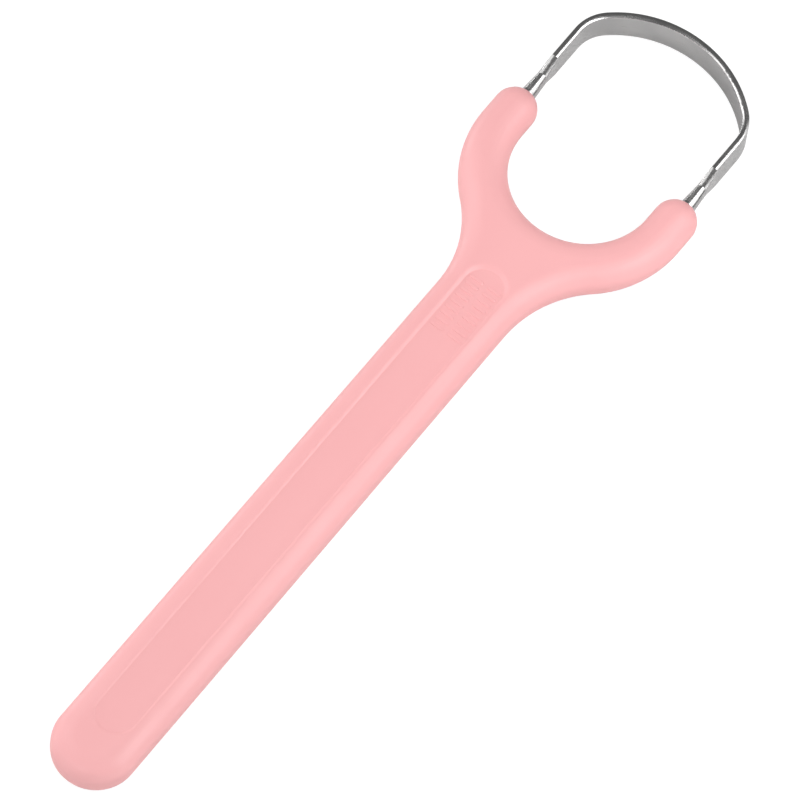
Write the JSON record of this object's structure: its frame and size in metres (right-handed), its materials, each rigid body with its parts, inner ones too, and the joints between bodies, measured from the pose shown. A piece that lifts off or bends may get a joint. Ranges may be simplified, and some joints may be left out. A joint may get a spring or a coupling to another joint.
{
  "type": "tongue scraper",
  "caption": "Hand tongue scraper: straight moulded handle with a rounded end and a sunk front panel, forking at the neck to hold a steel wire loop pressed flat for scraping.",
  "frame": {"origin": "on the flat back of the handle, midway along the overall length and width", "axes": "+Y along the handle from its rounded free end to the steel loop, +Z out of the front with the sunk panel, +X across"},
  "size_m": [0.0354, 0.15, 0.0062],
  "materials": {
    "handle_plastic": "satin moulded plastic, pale pink all through",
    "steel": "polished stainless wire, lightly drawn along its length"
  },
  "bodies": {
    "root": {"handle": "handle_plastic", "scraper_blade": "steel"}
  },
  "joints": []
}
